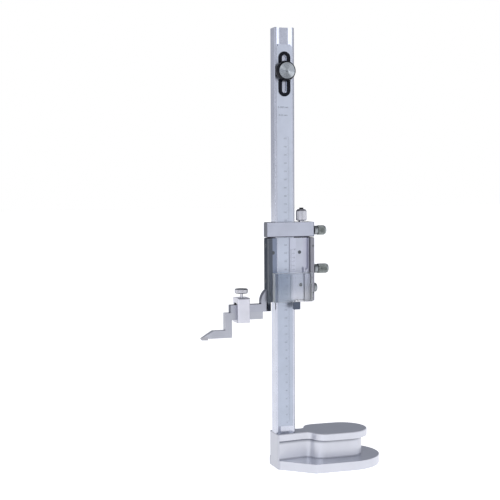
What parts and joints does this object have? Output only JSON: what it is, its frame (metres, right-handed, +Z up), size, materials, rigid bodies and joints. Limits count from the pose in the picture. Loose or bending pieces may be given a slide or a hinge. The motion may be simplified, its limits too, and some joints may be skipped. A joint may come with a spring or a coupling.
{
  "type": "height gauge",
  "caption": "Vernier height gauge: a slider with scriber, magnifier and fine feed rides a graduated column that stands at one end of a heavy waisted base.",
  "frame": {"origin": "on the base's underside, straight below the middle of the column", "axes": "+X runs along the base away from the scriber, +Y to the back (the scale faces -Y), +Z up the column"},
  "size_m": [0.2322, 0.0986, 0.5404],
  "materials": {
    "base_steel": "satin chrome plated cast steel, ground faces",
    "column_steel": "ground satin chrome",
    "fastener_steel": "plain steel",
    "insert_brass": "turned brass",
    "scale_face": "satin chrome with fine black graduations",
    "bezel_metal": "black",
    "knob_black": "black, knurled rim",
    "knob_face": "spun satin face",
    "slider_steel": "satin chrome",
    "black_plate": "black, semi-gloss",
    "vernier_steel": "satin chrome with fine black graduations",
    "carriage_black": "dark, semi-gloss",
    "front_plate": "satin chrome",
    "rail_black": "black, semi-gloss",
    "knurled_dark": "dark grey-green, knurled",
    "knurled_steel": "dark chrome, knurled",
    "cap_black": "black",
    "lens_clear": "clear, polished",
    "strip_steel": "dark satin steel",
    "tab_black": "black",
    "scriber_steel": "ground tool steel",
    "scriber_tip": "ground hard metal",
    "clamp_steel": "satin steel"
  },
  "bodies": {
    "stand": {"base": "base_steel", "column": "column_steel", "column_screws": "fastener_steel", "column_dowels": "fastener_steel", "scale_clamp_insert": "insert_brass"},
    "main_scale": {"main_scale": "scale_face", "scale_slot_bezel": "bezel_metal"},
    "scale_knob": {"scale_clamp_knob": "knob_black", "scale_clamp_face": "knob_face", "scale_clamp_stud": "fastener_steel", "scale_clamp_washer": "fastener_steel"},
    "slider": {"slider_body": "slider_steel", "slider_back_cover": "slider_steel", "back_cover_screws": "fastener_steel", "slider_side_plate": "black_plate", "side_plate_screws": "fastener_steel", "keeper_strip": "strip_steel", "keeper_screws": "fastener_steel", "gib": "fastener_steel", "gib_adjuster": "cap_black", "vernier_plate": "vernier_steel", "vernier_screws": "fastener_steel", "lens_rail_left": "rail_black", "lens_rail_right": "slider_steel", "rail_screws": "fastener_steel", "feed_nut": "insert_brass", "slider_lock_pad": "insert_brass"},
    "slider_lock": {"slider_lock_screw": "knurled_dark"},
    "carriage": {"feed_carriage": "carriage_black", "carriage_front_plate": "front_plate", "carriage_back_plate": "front_plate", "carriage_plate_screws": "fastener_steel", "carriage_lock_pad": "insert_brass"},
    "carriage_lock": {"carriage_lock_screw": "knurled_dark"},
    "feed": {"feed_knob": "knurled_steel", "feed_screw": "fastener_steel", "feed_collar": "fastener_steel"},
    "lens": {"magnifier_lens": "lens_clear", "lens_tab": "tab_black"},
    "scriber": {"scriber": "scriber_steel", "scriber_tip": "scriber_tip"},
    "clamp": {"scriber_clamp": "clamp_steel"},
    "clamp_screw": {"clamp_screw": "knurled_steel", "clamp_pad": "insert_brass"}
  },
  "joints": [
    {"name": "slider_height", "type": "slide", "parent": "stand", "child": "slider", "axis": [0, 0, 1], "range_m": [-0.1635, 0.1365]},
    {"name": "main_scale_adjust", "type": "slide", "parent": "stand", "child": "main_scale", "axis": [0, 0, 1], "range_m": [-0.008, 0.02]},
    {"name": "scale_clamp_turn", "type": "hinge", "parent": "stand", "child": "scale_knob", "pos_m": [0, -0.0096, 0.4876], "axis": [0, -1, 0], "range_deg": [-30, 360]},
    {"name": "slider_lock_turn", "type": "hinge", "parent": "slider", "child": "slider_lock", "pos_m": [0.0408, 0.0005, 0.2458], "axis": [1, 0, 0], "range_deg": [-30, 360]},
    {"name": "carriage_feed", "type": "slide", "parent": "slider", "child": "carriage", "axis": [0, 0, 1], "range_m": [-0.001, 0.004]},
    {"name": "carriage_lock_turn", "type": "hinge", "parent": "carriage", "child": "carriage_lock", "pos_m": [0.0408, 0.0005, 0.2935], "axis": [1, 0, 0], "range_deg": [-30, 360]},
    {"name": "fine_feed_turn", "type": "hinge", "parent": "carriage", "child": "feed", "pos_m": [0.0226, -0.0045, 0.3043], "axis": [0, 0, 1], "range_deg": [-360, 1440]},
    {"name": "magnifier_slide", "type": "slide", "parent": "slider", "child": "lens", "axis": [0, 0, 1], "range_m": [0, 0.04]},
    {"name": "scriber_slide", "type": "slide", "parent": "slider", "child": "scriber", "axis": [1, 0, 0], "range_m": [-0.012, 0.002]},
    {"name": "scriber_clamp_slide", "type": "slide", "parent": "slider", "child": "clamp", "axis": [1, 0, 0], "range_m": [-0.002, 0.01]},
    {"name": "clamp_screw_turn", "type": "hinge", "parent": "clamp", "child": "clamp_screw", "pos_m": [-0.0554, -0.0045, 0.2074], "axis": [0, 0, 1], "range_deg": [-30, 360]}
  ],
  "couplings": [
    {"joint": "fine_feed_turn", "follows": "carriage_feed", "rad_per_m": 6283.2}
  ]
}
